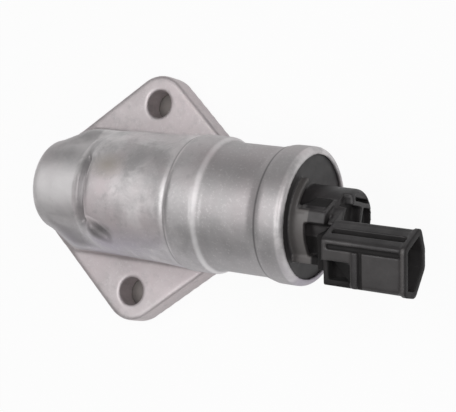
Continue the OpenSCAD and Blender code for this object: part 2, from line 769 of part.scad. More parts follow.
// Walls in the cap that carry the connector and hold its terminals
module plug_root() {
    half_w = (blade_pitch + blade_w) / 2 + 0.9;
    plug_block(-half_w, half_w, blade_root_b - 1.2, blade_root_b + 1.2, trench_floor_x - eps, blade_knee_x + 1);
    plug_block(-half_w, half_w, blade_root_b - 1.2, -1.5, block_x - 4.3, blade_knee_x + 1);
    plug_block(half_w - web_t, half_w, blade_root_b - 1.2, -4.5, cap_face_x - eps, block_x + 1);
}

module connector() {
    flat_b = plug_corners[5][1];
    flat_a = plug_corners[5][0];
    edge = 1;
    panel_a = flat_a + 0.3 + rebate_w;
    difference() {
        union() {
            on_plug() translate([0, 0, block_x]) linear_extrude(mouth_x - block_x) polygon(plug_outline(0));
            on_plug() translate([0, 0, mouth_x - mouth_lip_len]) linear_extrude(mouth_lip_len)
                polygon(plug_outline(-mouth_lip_h));
            plug_block(panel_a, -flat_a, 0, flat_b + mouth_lip_h, collar_x, collar_x + collar_len);
            plug_lock();
            plug_root();
        }
        on_plug() translate([0, 0, floor_x]) linear_extrude(mouth_x - floor_x + eps)
            polygon(plug_outline(socket_wall));
        plug_grooves();
        // Rebate along the flat side's edge
        plug_block(flat_a + 0.3, panel_a, flat_b - groove_depth, flat_b + 1, groove_x, groove_end_x);
        // Recess in the flat side behind the collar, below the ledge
        plug_block(panel_a + ledge_w, -flat_a - edge, flat_b - recess_depth, flat_b + 1, block_x + 1.4, collar_x - 0.6);
    }
}

module end_cap() {
    color([0.10, 0.10, 0.11])
    difference() {
        union() {
            cap_disc();
            trench_wall();
            difference() {
                union() {
                    boss();
                    arm();
                }
                // The arm doesn't fill the hollows in the boss's end
                rod(boss_x - boss_hollow, boss_x + eps, boss_r - boss_wall);
            }
            boss();
            connector();
        }
        rod(trench_floor_x - 2, sleeve_end_x, cap_bore_r);
        blade_room();
    }
}

module cap_seal() {
    color([0.12, 0.12, 0.12])
    on_axis(seal_groove_x + seal_groove_w / 2) rotate_extrude()
        translate([seal_mid_r, 0]) circle(r = cap_seal_r, $fn = 32);
}

housing();
valve_seat();
valve_disc();
valve_seal();
disc_clip();
valve_shaft();
return_spring();
spring_cup();
pole_piece();
pole_seal();
front_bush();
stop_washer();
plunger();
plunger_sleeve();
rear_bush();
bobbin();
winding();
winding_tape();
flux_sleeve();
rear_plate();
end_cap();
cap_seal();
terminal_1();
terminal_2();
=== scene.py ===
import bpy
import json
import math
from mathutils import Matrix, Vector


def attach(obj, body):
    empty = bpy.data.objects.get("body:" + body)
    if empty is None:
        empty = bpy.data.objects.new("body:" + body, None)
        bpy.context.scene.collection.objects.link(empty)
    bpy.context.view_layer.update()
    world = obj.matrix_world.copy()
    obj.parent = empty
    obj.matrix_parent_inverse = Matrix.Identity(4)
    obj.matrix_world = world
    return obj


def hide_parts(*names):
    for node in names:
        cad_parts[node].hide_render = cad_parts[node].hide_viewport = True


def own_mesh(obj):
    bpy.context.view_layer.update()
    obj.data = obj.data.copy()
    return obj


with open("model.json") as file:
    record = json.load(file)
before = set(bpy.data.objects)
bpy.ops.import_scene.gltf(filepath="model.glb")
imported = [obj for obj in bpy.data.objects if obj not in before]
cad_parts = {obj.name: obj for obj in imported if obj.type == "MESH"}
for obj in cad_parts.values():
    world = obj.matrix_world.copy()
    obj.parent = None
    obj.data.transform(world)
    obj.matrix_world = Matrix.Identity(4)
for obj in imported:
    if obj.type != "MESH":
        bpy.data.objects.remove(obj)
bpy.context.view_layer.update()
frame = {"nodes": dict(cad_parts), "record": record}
nodes = frame["nodes"]

# Places and sizes are in metres, unless a comment or a name says millimetres
AXIS_Z = 0.024
BOLT_Y = 0.027
FLANGE_TOP, CLEAR_OF_FLANGE = 0.0085, 0.0125

# Stretches of the housing along the valve's axis
SMALL_END = (-0.024, -0.0035)
SMALL_END_CREST = (-0.019, -0.0035)
SHOULDER = (-0.0022, 0.0010)
BAND_EDGE = (0.0274, 0.0281)
BAND_LINE = (0.0284, 0.0287)
BAND = (0.0294, 0.0371)
BAND_BEVEL = (0.0373, 0.0381)
TURNED_PART = (0.0384, 0.0618)
RIM_LINE = (0.0554, 0.0560)


def deselect_everything():
    if bpy.context.object and bpy.context.object.mode != "OBJECT":
        bpy.ops.object.mode_set(mode="OBJECT")
    bpy.ops.object.select_all(action="DESELECT")


def pick(piece):
    deselect_everything()
    piece.select_set(True)
    bpy.context.view_layer.objects.active = piece


# Ways to shape a piece

def merged_copy(node_name, name):
    """A copy of a CAD node with its loose triangles joined, as the start of a modelled piece."""
    pick(nodes[node_name])
    bpy.ops.object.duplicate()
    piece = bpy.context.object
    piece.name = name
    pick(piece)
    bpy.ops.object.mode_set(mode="EDIT")
    bpy.ops.mesh.select_all(action="SELECT")
    bpy.ops.mesh.remove_doubles(threshold=0.000004)
    bpy.ops.object.mode_set(mode="OBJECT")
    return piece


def join_to(piece, added):
    """Joins a modelled solid to a piece that is skinned over afterwards."""
    deselect_everything()
    added.select_set(True)
    piece.select_set(True)
    bpy.context.view_layer.objects.active = piece
    bpy.ops.object.join()


def cut_away(piece, tool):
    """Cuts a modelled tool out of a piece."""
    pick(piece)
    cut = piece.modifiers.new("cut", "BOOLEAN")
    cut.operation = "DIFFERENCE"
    cut.solver = "MANIFOLD"
    cut.object = tool
    bpy.ops.object.modifier_apply(modifier="cut")
    bpy.data.objects.remove(tool)


def cut_by_plane(piece, place, direction):
    """Cuts a piece with a plane and closes it; the side that the direction points to goes."""
    pick(piece)
    bpy.ops.object.mode_set(mode="EDIT")
    bpy.ops.mesh.select_all(action="SELECT")
    bpy.ops.mesh.bisect(plane_co=place, plane_no=direction, use_fill=True, clear_outer=True)
    bpy.ops.object.mode_set(mode="OBJECT")


def skin_over(piece, size):
    """One closed skin over all that was joined, with small rounds where faces meet."""
    pick(piece)
    skin = piece.modifiers.new("skin", "REMESH")
    skin.mode = "VOXEL"
    skin.voxel_size = size
    bpy.ops.object.modifier_apply(modifier="skin")


def run_together(piece, chosen, rounds):
    """Smooths the chosen points, so that webs and steps blend as in a casting."""
    group = piece.vertex_groups.new(name="soft")
    group.add([point.index for point in piece.data.vertices if chosen(point.co)], 1.0, "REPLACE")
    pick(piece)
    soft = piece.modifiers.new("soft", "SMOOTH")
    soft.factor = 0.5
    soft.iterations = rounds
    soft.vertex_group = "soft"
    bpy.ops.object.modifier_apply(modifier="soft")
    piece.vertex_groups.clear()


def thin_out(piece, triangles):
    """Fewer faces on the flats, shape kept."""
    pick(piece)
    count = sum(len(face.vertices) - 2 for face in piece.data.polygons)
    if count > triangles:
        thin = piece.modifiers.new("thin", "DECIMATE")
        thin.ratio = triangles / count
        bpy.ops.object.modifier_apply(modifier="thin")
    bpy.ops.object.shade_smooth()


def ring_on_axis(x, ring_r, wire_r):
    """A round ring whose middle lies on the valve's axis."""
    deselect_everything()
    bpy.ops.mesh.primitive_torus_add(major_radius=ring_r, minor_radius=wire_r, major_segments=160,
                                     minor_segments=16, location=(x, 0, AXIS_Z),
                                     rotation=(0, math.radians(90), 0))
    ring = bpy.context.object
    bpy.ops.object.transform_apply(location=True, rotation=True, scale=True)
    return ring


def rod_on_axis(x0, x1, radius):
    """A rod on the valve's axis, in millimetres."""
    deselect_everything()
    bpy.ops.mesh.primitive_cylinder_add(vertices=96, radius=radius / 1000, depth=(x1 - x0) / 1000,
                                        location=((x0 + x1) / 2000, 0, AXIS_Z),
                                        rotation=(0, math.radians(90), 0))
    bpy.ops.object.transform_apply(location=True, rotation=True, scale=True)
    return bpy.context.object


# Housing

CASTING_VOXEL = 0.00045
CASTING_TRIANGLES = 185000
# The fine bead in front of the band
BEAD_X, BEAD_RING_R, BEAD_WIRE_R = 0.0286, 0.0173, 0.00045
# The webs and the shoulder lie in front of this place on the axis
SHOULDER_END_X = 0.012
WEB_R, WEB_INNER_Y, WEB_OUTER_Y = 0.0135, 0.0085, 0.021
FOOT_R, FOOT_Z = 0.0125, 0.0075
OUTSIDE_R = 0.0145
FLANGE_SIDE_Y, HOLE_CLEAR_R = 0.0165, 0.0055


def off_axis(co):
    return math.hypot(co.y, co.z - AXIS_Z)


def on_web(co):
    """On the webs that run from the small end down to the flange."""
    return (co.x < SHOULDER_END_X and off_axis(co) > WEB_R
            and co.z > FLANGE_TOP and WEB_INNER_Y < abs(co.y) < WEB_OUTER_Y)


def on_foot(co):
    """On the shoulder, the webs and the small end's foot."""
    return co.x < SHOULDER_END_X and off_axis(co) > FOOT_R and co.z > FOOT_Z


def on_outside(co):
    """Outside the bores of the housing."""
    return off_axis(co) > OUTSIDE_R


def on_flange_edge(co):
    """On the flange's outer parts, but not on the edges of its bolt holes."""
    return (abs(co.y) > FLANGE_SIDE_Y and co.z < FLANGE_TOP
            and math.hypot(co.x, abs(co.y) - BOLT_Y) > HOLE_CLEAR_R)


def make_casting():
    """The die-cast housing with its webs, steps and edges run together."""
    casting = merged_copy("housing", "casting")
    join_to(casting, ring_on_axis(BEAD_X, BEAD_RING_R, BEAD_WIRE_R))
    skin_over(casting, CASTING_VOXEL)
    for place, rounds in ((on_web, 36), (on_foot, 4), (on_outside, 3), (on_flange_edge, 10)):
        run_together(casting, place, rounds)
    thin_out(casting, CASTING_TRIANGLES)
    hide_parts("housing")
    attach(casting, "body")
    return casting


# End cap

CAP_VOXEL = 0.00030
CAP_TRIANGLES = 199000
CAP_SMOOTH_FROM_X = 0.0605
CROWN_FROM_Y = 0.0062

# The other sizes of the end cap, in millimetres
# Rods on the axis, with x from and to, and a radius
TRENCH_FILL = (60.1, 62.58, 12.5)
CROWN = (73.2, 75.5, 8.0)
# The connector's frame: a runs down its long side, b towards its flat face, x along the axis
PLUG_Y, PLUG_Z, PLUG_TURN = -9.45, 12.95, math.radians(20)
PLUG_FLAT = 4.88
# The stretch between the connector's rear edge and its lip
PLUG_REAR, PLUG_LIP = 77.2, 97.2
# Blocks in the connector's frame, with a, b and x each from and to
RECESS_TOP = (-1.8, -0.5, 1.2, PLUG_FLAT, 77, 84.1)
REBATE_FILL = (-5.6, -4.6, 3.7, PLUG_FLAT, PLUG_REAR, PLUG_LIP)
RECESS = (-0.5, 9, 3.5, 6, 74, 83.8)
POCKET = (0.7, 4.6, 1.4, 4, 77.6, 82.4)
COLLAR_GROOVE = (-3.4, 6.4, 4.3, 6, 85.9, 87.0)
# The connector's slanted side: its corner away from the flat face in a and b, its direction and length
SIDE_A, SIDE_B = -8.9, -3.7
SIDE_TO_A, SIDE_TO_B, SIDE_LENGTH = 0.339, 0.941, 9.14
# The low wall round the boss: its inner radius, its end along x and its two ends in degrees
WALL_R, WALL_END, WALL_FROM, WALL_TO = 10.9, 68.2, -80, 52
# The boss: its radius and its end along x
BOSS_R, BOSS_END = 8.6, 75.4


def plug_block(a0, a1, b0, b1, x0, x1):
    """A block in the connector's frame."""
    deselect_everything()
    bpy.ops.mesh.primitive_cube_add(size=1)
    block = bpy.context.object
    centre = Vector(((x0 + x1) / 2, -(a0 + a1) / 2, (b0 + b1) / 2)) / 1000
    size = Vector((x1 - x0, a1 - a0, b1 - b0)) / 1000
    corner = Matrix.Translation((0, PLUG_Y / 1000, AXIS_Z + PLUG_Z / 1000))
    place = corner @ Matrix.Rotation(PLUG_TURN, 4, "X")
    block.matrix_world = place @ Matrix.Translation(centre) @ Matrix.Diagonal((*size, 1))
    bpy.ops.object.transform_apply(location=True, rotation=True, scale=True)
    return block


def in_plug(y, z):
    """A distance across and up from the axis, turned into the connector's a and b."""
    y, z = y - PLUG_Y, z - PLUG_Z
    return (-(y * math.cos(PLUG_TURN) + z * math.sin(PLUG_TURN)),
            -y * math.sin(PLUG_TURN) + z * math.cos(PLUG_TURN))


def ray_from_axis(degrees):
    """The direction square to an angle round the axis, counted from the top towards +Y."""
    return (0, math.cos(math.radians(degrees)), -math.sin(math.radians(degrees)))


def first_level(zones, otherwise):
    """The level of the first zone that holds the point."""
    return next((level for inside, level in zones if inside), otherwise)


def plug_painted_light_and_dust(x, a, b):
    """Painted shade (below 0) and dust with painted highlight (above 0) on the connector at a point."""
    along_side = ((a - SIDE_A) * SIDE_TO_A + (b - SIDE_B) * SIDE_TO_B) / SIDE_LENGTH
    into_side = (a - SIDE_A) * SIDE_TO_B - (b - SIDE_B) * SIDE_TO_A
    on_body = PLUG_REAR < x < PLUG_LIP
    in_side = on_body and 0.25 < into_side < 1.1
    socket_mouth = x > 98.5
    wide_slot = in_side and 0.42 < along_side < 0.74
    fine_slot = in_side and 0.14 < along_side < 0.28
    rebate = on_body and 3.75 < b < 4.6 and -4.6 < a < -3.2
    groove = 85.9 < x < 87.1 and b > 4 and a > -3.3
    recess = x < 84 and a > -0.7 and 0.8 < b < 4.2
    socket = x > 86.6 and b < 3.8 and into_side > 1.1 and a < 4.6
    on_flat = b > 4.6
    # Painted shade in the socket's mouth, the slots, the rebate, the collar groove, the recess and the
    # socket; dust with painted highlight on the lip, the panel and the ledge
    return first_level((
        (socket_mouth, -0.55),
        (wide_slot, -0.85),
        (fine_slot, -0.45),
        (rebate, -0.8),
        (groove, -0.75),
        (recess, -1.0),
        (socket, -0.5),
        (on_flat and x > 97.4, 0.45),
        (on_flat and x > 87.1 and a > -3.2, 0.12),
        (on_flat and x < 84.4, 0.2),
    ), -0.05)


def cap_painted_light_and_dust(x, y, z):
    """Painted shade (below 0) and dust with painted highlight (above 0) on the cap at a point."""
    r = math.hypot(y, z)
    angle = math.degrees(math.atan2(y, z))
    a, b = in_plug(y, z)
    if x > 76.6 and a < 7.8 and -6.2 < b < 5.4:
        return plug_painted_light_and_dust(x, a, b)
    by_wall = WALL_FROM < angle < WALL_TO
    beside_arm = x < 72 and BOSS_R < r < 11.2 and 14 < angle < 48
    on_wall = r > WALL_R and x < 68.4
    trench = x < BOSS_END and r > BOSS_R and -82 < angle < -8 and not on_wall
    # Painted shade beside the arm, in the trench and in the boss's end; dust with painted highlight on
    # the wall's outer side and its top
    return first_level((
        (beside_arm, -0.85),
        (trench, -0.9),
        (by_wall and r > 12.3 and 62.9 < x < WALL_END, 0.9),
        (by_wall and WALL_R < r < 12.8 and 64.2 < x < WALL_END, 0.35),
        (r < 7.5 and 72.5 < x < BOSS_END, -0.5),
    ), 0.0)


def make_cap():
    """The end cap: the CAD moulding with its trench, boss and connector finished."""
    cap = merged_copy("end_cap", "cap_moulding")
    # The recess starts a little lower
    join_to(cap, plug_block(*RECESS_TOP))
    # The rebate along the upper edge is narrower than in the CAD moulding
    join_to(cap, plug_block(*REBATE_FILL))
    # The trench goes on only where its wall stands, and is filled between these angles
    for start, end in ((50, 170), (165, 283)):
        fill = rod_on_axis(*TRENCH_FILL)
        cut_by_plane(fill, (0, 0, AXIS_Z), tuple(-v for v in ray_from_axis(start)))
        cut_by_plane(fill, (0, 0, AXIS_Z), ray_from_axis(end))
        join_to(cap, fill)
    # The boss's end is closed on the side away from the connector
    crown = rod_on_axis(*CROWN)
    cut_by_plane(crown, (0, CROWN_FROM_Y, 0), (0, -1, 0))
    join_to(cap, crown)
    skin_over(cap, CAP_VOXEL)
    # Behind the collar is a shallow recess, open to the rear and below, with a pocket in it
    for hollow in (RECESS, POCKET, COLLAR_GROOVE):
        cut_away(cap, plug_block(*hollow))
    run_together(cap, lambda co: co.x > CAP_SMOOTH_FROM_X, 2)
    thin_out(cap, CAP_TRIANGLES)
    # Painted shade and dust with painted highlight, stored on each point for the cap's material
    painted_light_and_dust = cap.data.attributes.new(name="painted_light_and_dust", type="FLOAT", domain="POINT")
    for point, value in zip(cap.data.vertices, painted_light_and_dust.data):
        value.value = cap_painted_light_and_dust(point.co.x * 1000, point.co.y * 1000, (point.co.z - AXIS_Z) * 1000)
    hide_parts("end_cap")
    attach(cap, "body")
    return cap


# Return spring

def make_spring():
    """The return spring, as a smooth-shaded copy of the CAD spring that rides on the body."""
    spring = merged_copy("return_spring", "coil_spring")
    bpy.ops.object.shade_smooth()
    # It is 8.8 mm long at rest, and the valve opens by 4 mm
    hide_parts("return_spring")
    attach(spring, "body")
    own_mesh(spring)
    return spring


# Materials

class Finish:
    """A node material, with short ways to add the nodes that these finishes use."""

    def __init__(self, name):
        self.material = bpy.data.materials.new(name)
        self.material.use_nodes = True
        self.tree = self.material.node_tree
        self.shader = self.tree.nodes["Principled BSDF"]
        self.place = self.node("TexCoord").outputs["Object"]

    def node(self, kind):
        return self.tree.nodes.new("ShaderNode" + kind)

    def link(self, source, target):
        self.tree.links.new(source, target)

    def stretch(self, scale, shift=(0, 0, 0)):
        mapping = self.node("Mapping")
        mapping.inputs["Scale"].default_value = scale
        mapping.inputs["Location"].default_value = shift
        self.link(self.place, mapping.inputs["Vector"])
        return mapping.outputs["Vector"]

    def noise(self, scale, detail=3.0, roughness=0.55, where=None, distortion=0.0):
        noise = self.node("TexNoise")
        noise.inputs["Scale"].default_value = scale
        noise.inputs["Detail"].default_value = detail
        noise.inputs["Roughness"].default_value = roughness
        noise.inputs["Distortion"].default_value = distortion
        self.link(where or self.place, noise.inputs["Vector"])
        return noise.outputs["Fac"]

    def span(self, value, low, high, to_low=0.0, to_high=1.0):
        node = self.node("MapRange")
        node.inputs["From Min"].default_value = low
        node.inputs["From Max"].default_value = high
        node.inputs["To Min"].default_value = to_low
        node.inputs["To Max"].default_value = to_high
        self.link(value, node.inputs["Value"])
        return node.outputs["Result"]

    def blend(self, amount, first, second):
        """From the first colour to the second, as the amount goes from 0 to 1."""
        node = self.node("Mix")
        node.data_type = "RGBA"
        self.link(amount, node.inputs["Factor"])
        for socket, value in ((node.inputs["A"], first), (node.inputs["B"], second)):
            if isinstance(value, tuple):
                socket.default_value = (*value, 1)
            else:
                self.link(value, socket)
        return node.outputs["Result"]

    def math(self, operation, first, second):
        node = self.node("Math")
        node.operation = operation
        for socket, value in zip(node.inputs, (first, second)):
            if isinstance(value, (int, float)):
                socket.default_value = value
            else:
                self.link(value, socket)
        return node.outputs["Value"]

    def times(self, first, second):
        return self.math("MULTIPLY", first, second)

    def bump(self, height, distance, strength=1.0, under=None):
        node = self.node("Bump")
        node.inputs["Distance"].default_value = distance
        node.inputs["Strength"].default_value = strength
        self.link(height, node.inputs["Height"])
        if under is not None:
            self.link(under, node.inputs["Normal"])
        return node.outputs["Normal"]

    def across(self, axis, low, high):
        """0 to 1 across the part, between two places on one axis."""
        axes = self.node("SeparateXYZ")
        self.link(self.place, axes.inputs["Vector"])
        return self.span(axes.outputs[axis], low, high)

    def along(self, places, edge=0.0003):
        """1 between two places along the valve's axis and 0 outside them and on the flange."""
        axes = self.node("SeparateXYZ")
        self.link(self.place, axes.inputs["Vector"])
        start, end = places
        rise = self.span(axes.outputs["X"], start - edge, start + edge)
        fall = self.span(axes.outputs["X"], end - edge, end + edge, 1.0, 0.0)
        above_flange = self.span(axes.outputs["Z"], FLANGE_TOP, CLEAR_OF_FLANGE)
        return self.times(self.times(rise, fall), above_flange)

    def near(self, centre, inner, outer, stretch):
        """1 close to a point and 0 away from it, as a mask for the brown stain and for the pocket's
        painted shade.
        """
        spot = self.node("VectorMath")
        spot.operation = "DISTANCE"
        spot.inputs[1].default_value = [c * s for c, s in zip(centre, stretch)]
        self.link(self.stretch(stretch), spot.inputs[0])
        return self.span(spot.outputs["Value"], inner, outer, 1.0, 0.0)

    def soft_edges(self, radius):
        """Rounds the edges for the light, as a moulded or cast edge is."""
        node = self.node("Bevel")
        node.samples = 6
        node.inputs["Radius"].default_value = radius
        return node.outputs["Normal"]

    def corners(self, reach):
        """1 on open surface and 0 deep in a corner, for painted shade with dirt in corners."""
        node = self.node("AmbientOcclusion")
        node.samples = 8
        node.inputs["Distance"].default_value = reach
        return node.outputs["AO"]

    def color(self, value):
        self.link(value, self.shader.inputs["Base Color"])

    def rough(self, value):
        if isinstance(value, float):
            self.shader.inputs["Roughness"].default_value = value
        else:
            self.link(value, self.shader.inputs["Roughness"])

    def normal(self, value):
        self.link(value, self.shader.inputs["Normal"])

    def metal(self, value):
        self.shader.inputs["Metallic"].default_value = value

    def gloss(self, level):
        self.shader.inputs["Specular IOR Level"].default_value = level


# Colours of the casting
CLOUD_GREY, CLOUD_PALE = (0.575, 0.555, 0.56), (0.83, 0.80, 0.805)
PINK, FLANGE_PINK = (0.74, 0.665, 0.68), (0.63, 0.565, 0.575)
VIOLET, BROWN = (0.50, 0.465, 0.535), (0.60, 0.55, 0.51)
# Tones of the turned part and the band, and the painted shade of the small end's sides
TURNED_GREY, BAND_GREY, PAINTED_SIDE_SHADE = (0.40, 0.385, 0.39), (0.42, 0.405, 0.41), (0.40, 0.385, 0.39)
STAIN, SPECK = (0.46, 0.44, 0.445), (0.84, 0.82, 0.82)
# Painted highlights for the band's edge and bevel, the bevel's low side and the small end's crest
PAINTED_EDGE_HIGHLIGHT, PAINTED_LOW_BEVEL_HIGHLIGHT, PAINTED_CREST_HIGHLIGHT = (0.92, 0.90, 0.905), (0.97, 0.95, 0.955), (0.95, 0.925, 0.93)
# Painted shade for the band groove, the shoulder, the rim line and the pocket, and painted shade with
# dirt for corners
PAINTED_LINE_SHADE, PAINTED_SHOULDER_SHADOW, PAINTED_RIM_LINE_SHADE = (0.20, 0.19, 0.195), (0.21, 0.20, 0.205), (0.16, 0.15, 0.155)
PAINTED_POCKET_SHADE, CORNER_SHADE_AND_DIRT = (0.25, 0.235, 0.24), (0.14, 0.13, 0.133)
# Places of a brown stain and of the pocket's painted shade on the casting
BROWN_STAIN = (0.0085, 0.0062, 0.0400)
POCKET_SHADE_SPOT = (0.0061, -0.0119, 0.0367)


def cast_skin(f, clouds):
    """Light grey clouds with a pink bloom, pinker on the flange and violet on the low side."""
    bloom = f.noise(48, 3, 0.5, where=f.stretch((1, 1, 1), shift=(3, 1, 2)))
    skin = f.blend(f.span(clouds, 0.39, 0.61), CLOUD_GREY, CLOUD_PALE)
    skin = f.blend(f.span(bloom, 0.46, 0.66), skin, PINK)
    on_flange = f.times(f.across("Z", 0.012, 0.006), 0.8)
    skin = f.blend(on_flange, skin, FLANGE_PINK)
    low_side = f.times(f.across("Y", -0.009, -0.015), f.span(bloom, 0.42, 0.56, 0.25, 0.85))
    low_side = f.times(low_side, f.across("Z", 0.009, 0.014))
    skin = f.blend(low_side, skin, VIOLET)
    return f.blend(f.near(BROWN_STAIN, 0.0005, 0.0045, (0.7, 1, 1)), skin, BROWN)


def section_tones(f, skin, blotches, grain):
    """The turned part and the band are a little darker, and all of it is stained and speckled."""
    skin = f.blend(f.times(f.along(TURNED_PART), 0.66), skin, TURNED_GREY)
    skin = f.blend(f.times(f.along(BAND), 0.40), skin, BAND_GREY)
    skin = f.blend(f.span(blotches, 0.54, 0.72, 0.0, 0.45), skin, STAIN)
    return f.blend(f.span(grain, 0.56, 0.74, 0.0, 0.35), skin, SPECK)


def painted_highlights_and_side_shade(f, skin, blotches):
    """Painted highlights on the band's edge and bevel, stronger on the bevel's low side, and on the
    small end's crest, with painted shade on the small end's sides.
    """
    patchiness = f.span(blotches, 0.35, 0.6, 0.55, 1.0)
    skin = f.blend(f.times(f.along(BAND_BEVEL), f.times(patchiness, 0.45)), skin, PAINTED_EDGE_HIGHLIGHT)
    skin = f.blend(f.times(f.along(BAND_EDGE), 0.15), skin, PAINTED_EDGE_HIGHLIGHT)
    low_bevel = f.times(f.along(BAND_BEVEL), f.across("Y", -0.005, -0.010))
    skin = f.blend(f.times(low_bevel, 0.65), skin, PAINTED_LOW_BEVEL_HIGHLIGHT)
    crest = f.math("MINIMUM", f.across("Y", 0.0085, 0.003), f.across("Y", -0.0085, -0.003))
    crest_highlight = f.times(f.along(SMALL_END_CREST), f.span(crest, 0.0, 1.0, 0.10, 0.80))
    skin = f.blend(crest_highlight, skin, PAINTED_CREST_HIGHLIGHT)
    side_shade = f.times(f.along(SMALL_END), f.span(crest, 0.0, 0.6, 0.42, 0.0))
    return f.blend(side_shade, skin, PAINTED_SIDE_SHADE)


def painted_shade_and_corner_dirt(f, skin):
    """Painted shade in the fine band groove, round the shoulder's upper side, along the rim line and in
    the pocket, and painted shade with dirt in corners.
    """
    skin = f.blend(f.times(f.along(BAND_LINE, 0.0002), 0.6), skin, PAINTED_LINE_SHADE)
    upper = f.times(f.across("Y", -0.0135, -0.006), f.across("Y", 0.0145, 0.006))
    upper = f.times(f.times(upper, f.across("Z", 0.026, 0.030)), 0.78)
    skin = f.blend(f.times(f.along(SHOULDER, 0.0007), upper), skin, PAINTED_SHOULDER_SHADOW)
    skin = f.blend(f.times(f.along(RIM_LINE, 0.0002), 0.75), skin, PAINTED_RIM_LINE_SHADE)
    skin = f.blend(f.near(POCKET_SHADE_SPOT, 0.0014, 0.0036, (0.62, 1, 1)), skin, PAINTED_POCKET_SHADE)
    return f.blend(f.span(f.corners(0.0012), 0.30, 0.80, 0.40, 0.0), skin, CORNER_SHADE_AND_DIRT)


def cast_aluminium():
    """Die-cast skin: light grey with cloudy stains, a fine grain and a slightly pink bloom, with painted
    highlights on its edges and crest and painted shade in its lines, pocket and corners.
    """
    f = Finish("cast_aluminium")
    clouds = f.noise(110, 6, 0.62, distortion=0.6)
    blotches = f.noise(330, 4, 0.62)
    grain = f.noise(1500, 2, 0.6)
    skin = section_tones(f, cast_skin(f, clouds), blotches, grain)
    f.color(painted_shade_and_corner_dirt(f, painted_highlights_and_side_shade(f, skin, blotches)))
    f.metal(0.66)
    f.rough(f.span(clouds, 0.32, 0.7, 0.46, 0.56))
    fine = f.bump(grain, 0.00003, 0.45, f.soft_edges(0.0005))
    f.normal(f.bump(f.noise(480, 4, 0.6), 0.00008, 0.5, fine))
    return f.material


# Colours of the cap
PLASTIC_DARK, PLASTIC_PALE = (0.026, 0.0235, 0.0245), (0.050, 0.0455, 0.0465)
# Dust with painted highlight, painted shade, and painted shade with dirt in corners, for the cap
CAP_DUST_AND_HIGHLIGHT, CAP_PAINTED_SHADE, CAP_CORNER_SHADE_AND_DIRT = (0.14, 0.13, 0.127), (0.006, 0.005, 0.005), (0.009, 0.0078, 0.0078)


def black_plastic():
    """Moulded cap: satin black with a fine grain, with painted shade in its grooves and recesses,
    painted shade with dirt in its corners, and dust with painted highlight on some faces.
    """
    f = Finish("black_plastic")
    dust = f.noise(120, 5, 0.65)
    base = f.blend(f.span(dust, 0.42, 0.72), PLASTIC_DARK, PLASTIC_PALE)
    painted_light_and_dust = f.node("Attribute")
    painted_light_and_dust.attribute_name = "painted_light_and_dust"
    level = painted_light_and_dust.outputs["Fac"]
    # Dust with painted highlight above 0 and painted shade below 0, then painted shade with dirt in
    # corners
    dust_and_highlight = f.blend(f.span(level, 0.0, 1.0), base, CAP_DUST_AND_HIGHLIGHT)
    with_painted_shade = f.blend(f.span(level, 0.0, -1.0), dust_and_highlight, CAP_PAINTED_SHADE)
    corner_shade_and_dirt = f.span(f.corners(0.0025), 0.10, 0.80, 0.6, 0.0)
    f.color(f.blend(corner_shade_and_dirt, with_painted_shade, CAP_CORNER_SHADE_AND_DIRT))
    matt = f.span(level, 0.0, -1.0, 0.0, 0.5)
    f.rough(f.math("ADD", f.span(f.noise(260, 3, 0.5), 0.3, 0.7, 0.42, 0.55), matt))
    f.gloss(0.6)
    f.normal(f.bump(f.noise(900, 3, 0.6), 0.00003, 0.4, f.soft_edges(0.0003)))
    return f.material


def turned_metal(name, low, high, rough):
    """Turned or ground metal: fine rings round the valve's axis and light stains."""
    f = Finish(name)
    stains = f.noise(160, 4, 0.6)
    rings = f.noise(900, 2, 0.5, where=f.stretch((6, 0.25, 0.25)))
    f.color(f.blend(f.span(stains, 0.35, 0.7), low, high))
    f.metal(0.9)
    f.rough(f.span(stains, 0.3, 0.7, rough, rough + 0.12))
    f.normal(f.bump(rings, 0.00003, 0.5))
    return f.material


def coil_wire():
    """Enamelled copper wire, wound in turns round the valve's axis."""
    f = Finish("copper")
    wave = f.node("TexWave")
    wave.bands_direction = "X"
    wave.inputs["Scale"].default_value = 640
    wave.inputs["Distortion"].default_value = 0.2
    f.link(f.place, wave.inputs["Vector"])
    f.color(f.blend(f.span(f.noise(180), 0.35, 0.7), (0.48, 0.17, 0.07), (0.68, 0.29, 0.13)))
    f.metal(0.75)
    f.rough(0.34)
    f.normal(f.bump(wave.outputs["Fac"], 0.00012, 0.9))
    return f.material


def soft_polymer(name, low, high, rough, grain):
    """Rubber, film or plastic with a faint mottle."""
    f = Finish(name)
    f.color(f.blend(f.span(f.noise(200, 4, 0.6), 0.35, 0.7), low, high))
    f.rough(f.span(f.noise(400, 3, 0.5), 0.3, 0.7, rough, rough + 0.12))
    f.normal(f.bump(f.noise(grain, 3, 0.6), 0.00004, 0.5))
    return f.material


# Darkest and lightest colour and lowest roughness of each turned metal
METALS = {
    "brass": ((0.55, 0.38, 0.13), (0.76, 0.58, 0.26), 0.28),
    "tinned_brass": ((0.52, 0.49, 0.42), (0.72, 0.69, 0.60), 0.30),
    "bronze": ((0.38, 0.22, 0.10), (0.55, 0.35, 0.18), 0.45),
    "stainless_steel": ((0.55, 0.55, 0.56), (0.70, 0.70, 0.71), 0.22),
    "spring_steel": ((0.30, 0.30, 0.31), (0.46, 0.46, 0.47), 0.30),
    "plated_steel": ((0.42, 0.42, 0.41), (0.62, 0.62, 0.61), 0.36),
    "turned_aluminium": ((0.60, 0.60, 0.61), (0.76, 0.76, 0.77), 0.30),
}
# The same for each polymer, with the scale of its grain
POLYMERS = {
    "bobbin_plastic": ((0.04, 0.04, 0.045), (0.08, 0.08, 0.085), 0.42, 900),
    "tape": ((0.62, 0.45, 0.10), (0.78, 0.60, 0.17), 0.35, 500),
    "rubber": ((0.018, 0.018, 0.018), (0.035, 0.035, 0.035), 0.6, 1200),
}

